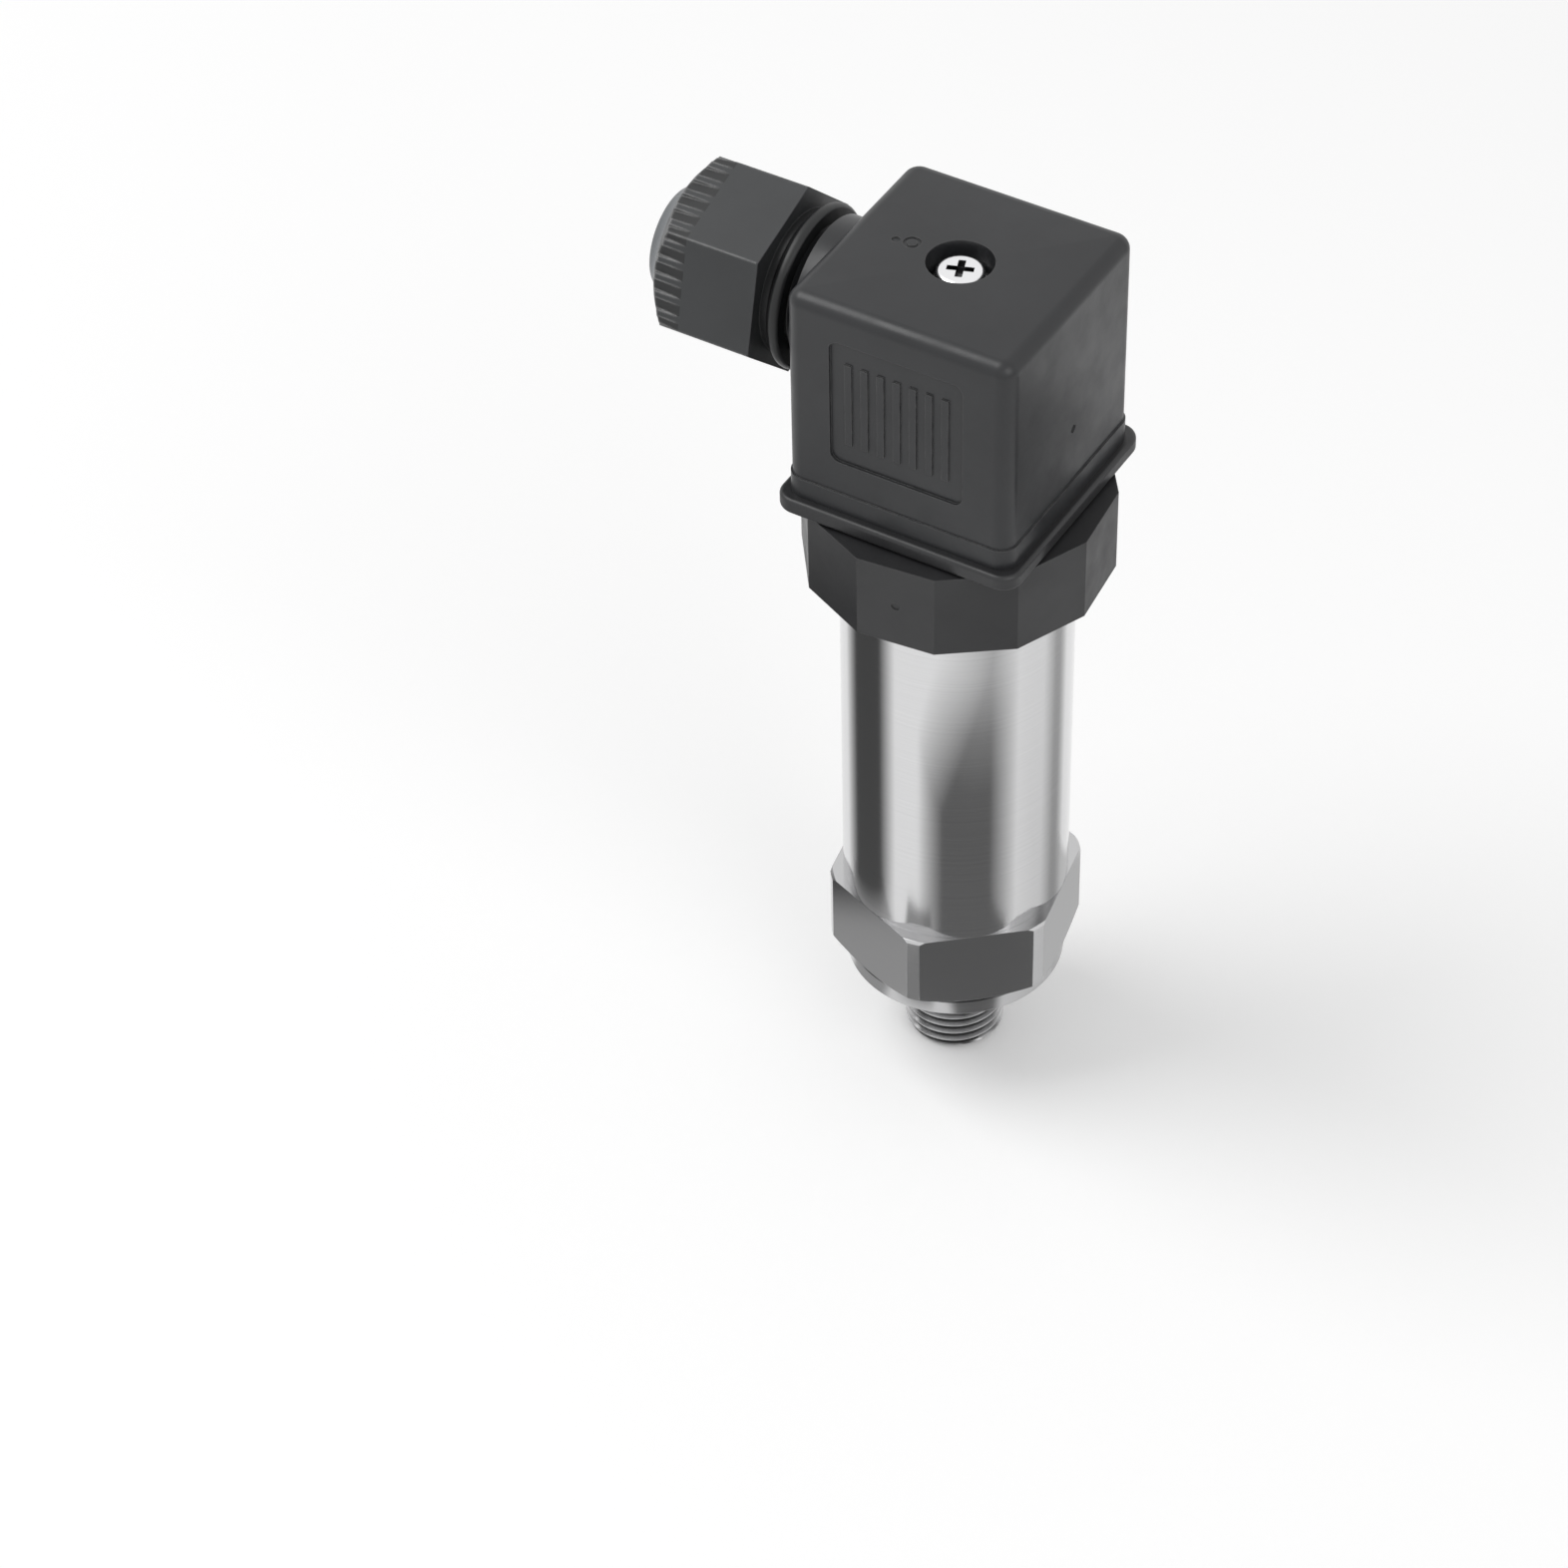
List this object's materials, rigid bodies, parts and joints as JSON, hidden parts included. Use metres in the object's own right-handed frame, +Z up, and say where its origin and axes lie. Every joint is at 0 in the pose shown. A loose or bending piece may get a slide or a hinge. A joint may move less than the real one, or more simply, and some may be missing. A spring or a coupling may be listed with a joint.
{
  "type": "pressure transmitter",
  "caption": "Stainless pressure transmitter with threaded process fitting, tube, union nut and square plug-on connector head with side cable gland.",
  "frame": {"origin": "centre of the sealing shoulder's face, on the axis of the process thread", "axes": "+Z up along the tube towards the connector head; the process thread points to -Z; the cable gland points to -X; the recessed panel of the plug faces -Y"},
  "size_m": [0.054, 0.0356, 0.1176],
  "materials": {
    "machined_steel": "fine turned and milled stainless steel",
    "polished_steel": "polished stainless steel tube",
    "zinc_steel": "bright zinc plated steel",
    "spring_steel": "dark spring steel",
    "housing_plastic": "black moulded nylon, satin",
    "nut_plastic": "black glass-filled nylon, satin",
    "gland_plastic": "black nylon, fine matt",
    "carrier_plastic": "black nylon",
    "black_rubber": "matt rubber",
    "gasket_rubber": "soft matt rubber",
    "tinned_brass": "tinned contact metal",
    "bare_brass": "turned brass",
    "board_green": "glass laminate with green lacquer",
    "component_black": "moulded component cases",
    "wire_red": "wire insulation"
  },
  "bodies": {
    "transmitter_body": {"process_fitting": "machined_steel", "housing_tube": "polished_steel", "sensor_capsule": "machined_steel", "capsule_seal": "black_rubber", "capsule_lock_ring": "machined_steel", "sensor_pins": "bare_brass", "sensor_leads": "wire_red"},
    "connector_base": {"connector_base": "nut_plastic", "base_retaining_ring": "spring_steel", "base_seal": "black_rubber", "contact_blade_1": "tinned_brass", "contact_blade_2": "tinned_brass", "contact_blade_3": "tinned_brass", "ground_blade": "tinned_brass", "screw_insert": "bare_brass", "flat_gasket": "gasket_rubber", "circuit_board": "board_green", "board_components": "component_black", "connector_leads": "wire_red"},
    "union_nut": {"union_nut": "nut_plastic"},
    "plug": {"plug_housing": "housing_plastic", "terminal_carrier": "carrier_plastic", "socket_contacts": "tinned_brass", "terminal_screws": "zinc_steel", "gland_seal": "black_rubber"},
    "screw_washer": {"screw_washer": "zinc_steel"},
    "plug_screw": {"plug_screw": "zinc_steel"},
    "gland_slip_ring": {"gland_slip_ring": "carrier_plastic"},
    "gland_nut": {"gland_nut": "gland_plastic"}
  },
  "joints": [
    {"name": "base_lift", "type": "slide", "parent": "transmitter_body", "child": "connector_base", "axis": [0, 0, 1], "range_m": [0, 0.0075], "deforming": ["sensor_leads"]},
    {"name": "union_nut_turn", "type": "hinge", "parent": "connector_base", "child": "union_nut", "pos_m": [0, 0, 0.0675], "axis": [0, 0, 1], "range_deg": [0, 1800]},
    {"name": "plug_lift", "type": "slide", "parent": "connector_base", "child": "plug", "axis": [0, 0, 1], "range_m": [0, 0.035]},
    {"name": "screw_rise", "type": "slide", "parent": "plug", "child": "screw_washer", "axis": [0, 0, 1], "range_m": [0, 0.0115]},
    {"name": "plug_screw_turn", "type": "hinge", "parent": "screw_washer", "child": "plug_screw", "pos_m": [0, 0, 0.1], "axis": [0, 0, 1], "range_deg": [0, 8280]},
    {"name": "gland_back_off", "type": "slide", "parent": "plug", "child": "gland_slip_ring", "axis": [-1, 0, 0], "range_m": [0, 0.009]},
    {"name": "gland_nut_turn", "type": "hinge", "parent": "gland_slip_ring", "child": "gland_nut", "pos_m": [-0.025, 0, 0.0925], "axis": [-1, 0, 0], "range_deg": [0, 2160]}
  ],
  "couplings": [
    {"joint": "union_nut_turn", "follows": "base_lift", "rad_per_m": 4188.8},
    {"joint": "plug_screw_turn", "follows": "screw_rise", "rad_per_m": 12566},
    {"joint": "gland_nut_turn", "follows": "gland_back_off", "rad_per_m": 4188.8}
  ]
}
